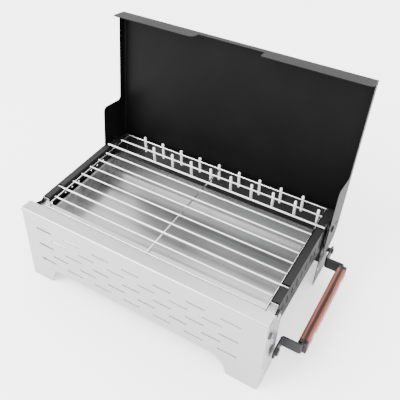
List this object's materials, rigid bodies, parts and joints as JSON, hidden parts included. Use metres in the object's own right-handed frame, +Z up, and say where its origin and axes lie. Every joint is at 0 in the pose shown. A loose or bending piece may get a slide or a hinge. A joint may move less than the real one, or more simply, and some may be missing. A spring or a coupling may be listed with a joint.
{
  "type": "folding camp grill",
  "caption": "Portable charcoal grill with folding leg panels, an open tray, a lift-off wire grate with hanging pegs, a lid hinged at the rear and a wood-gripped side handle.",
  "frame": {"origin": "middle of the bounding box, on the ground under the feet", "axes": "+X to the handle's side along the front panel, +Y from the front panel to the lid, +Z up"},
  "size_m": [0.445, 0.2978, 0.3254],
  "materials": {
    "stainless": "brushed",
    "black_coat": "satin powder coat",
    "fastener_steel": "bright zinc",
    "grate_wire": "polished wire",
    "peg_steel": "bright",
    "bar_steel": "dark satin",
    "wood": "oiled",
    "dark_trim": "matte"
  },
  "bodies": {
    "chassis": {"left_side_panel": "black_coat", "right_side_panel": "black_coat", "front_cross_rail": "stainless", "rear_cross_rail": "black_coat", "charcoal_tray": "stainless", "rail_rivets": "fastener_steel", "front_pivot_screws": "fastener_steel", "front_pivot_spacers": "fastener_steel", "lid_pivot_bolts": "fastener_steel", "lid_pivot_nuts": "fastener_steel", "lid_pivot_spacers": "fastener_steel"},
    "grate": {"grate_frame": "grate_wire", "grate_wires": "grate_wire", "grate_rest_wires": "grate_wire", "grate_crossbar": "grate_wire", "front_pegs": "peg_steel", "rear_pegs": "peg_steel"},
    "front_leg": {"front_leg_panel": "stainless", "front_hinge_plates": "black_coat", "latch_spring": "fastener_steel", "latch_button": "dark_trim", "front_foot_rivets": "fastener_steel"},
    "rear_leg": {"rear_leg_panel": "black_coat", "foot_studs": "fastener_steel", "handle_pivot_stud": "fastener_steel", "handle_pivot_spacer": "fastener_steel", "handle_pivot_nut": "fastener_steel"},
    "lid": {"lid_shell": "black_coat"},
    "handle": {"handle_bar": "bar_steel", "inner_grip": "wood", "outer_grip": "wood", "grip_ferrules": "dark_trim", "grip_rivets": "fastener_steel", "thumb_screw": "dark_trim"}
  },
  "joints": [
    {"name": "front_leg_fold", "type": "hinge", "parent": "chassis", "child": "front_leg", "pos_m": [-0.00015, -0.10137, 0.109], "axis": [1, 0, 0], "range_deg": [0, 94.9]},
    {"name": "rear_leg_fold", "type": "hinge", "parent": "chassis", "child": "rear_leg", "pos_m": [-0.00015, 0.07863, 0.109], "axis": [-1, 0, 0], "range_deg": [0, 85.1]},
    {"name": "lid_hinge", "type": "hinge", "parent": "chassis", "child": "lid", "pos_m": [-0.00015, 0.07863, 0.109], "axis": [1, 0, 0], "range_deg": [0, 98.6]},
    {"name": "handle_swing", "type": "hinge", "parent": "rear_leg", "child": "handle", "pos_m": [0.18645, 0.09856, 0.0435], "axis": [-1, 0, 0], "range_deg": [0, 90]},
    {"name": "grate_lift", "type": "slide", "parent": "chassis", "child": "grate", "axis": [0, 0, 1], "range_m": [0, 0.012]}
  ]
}
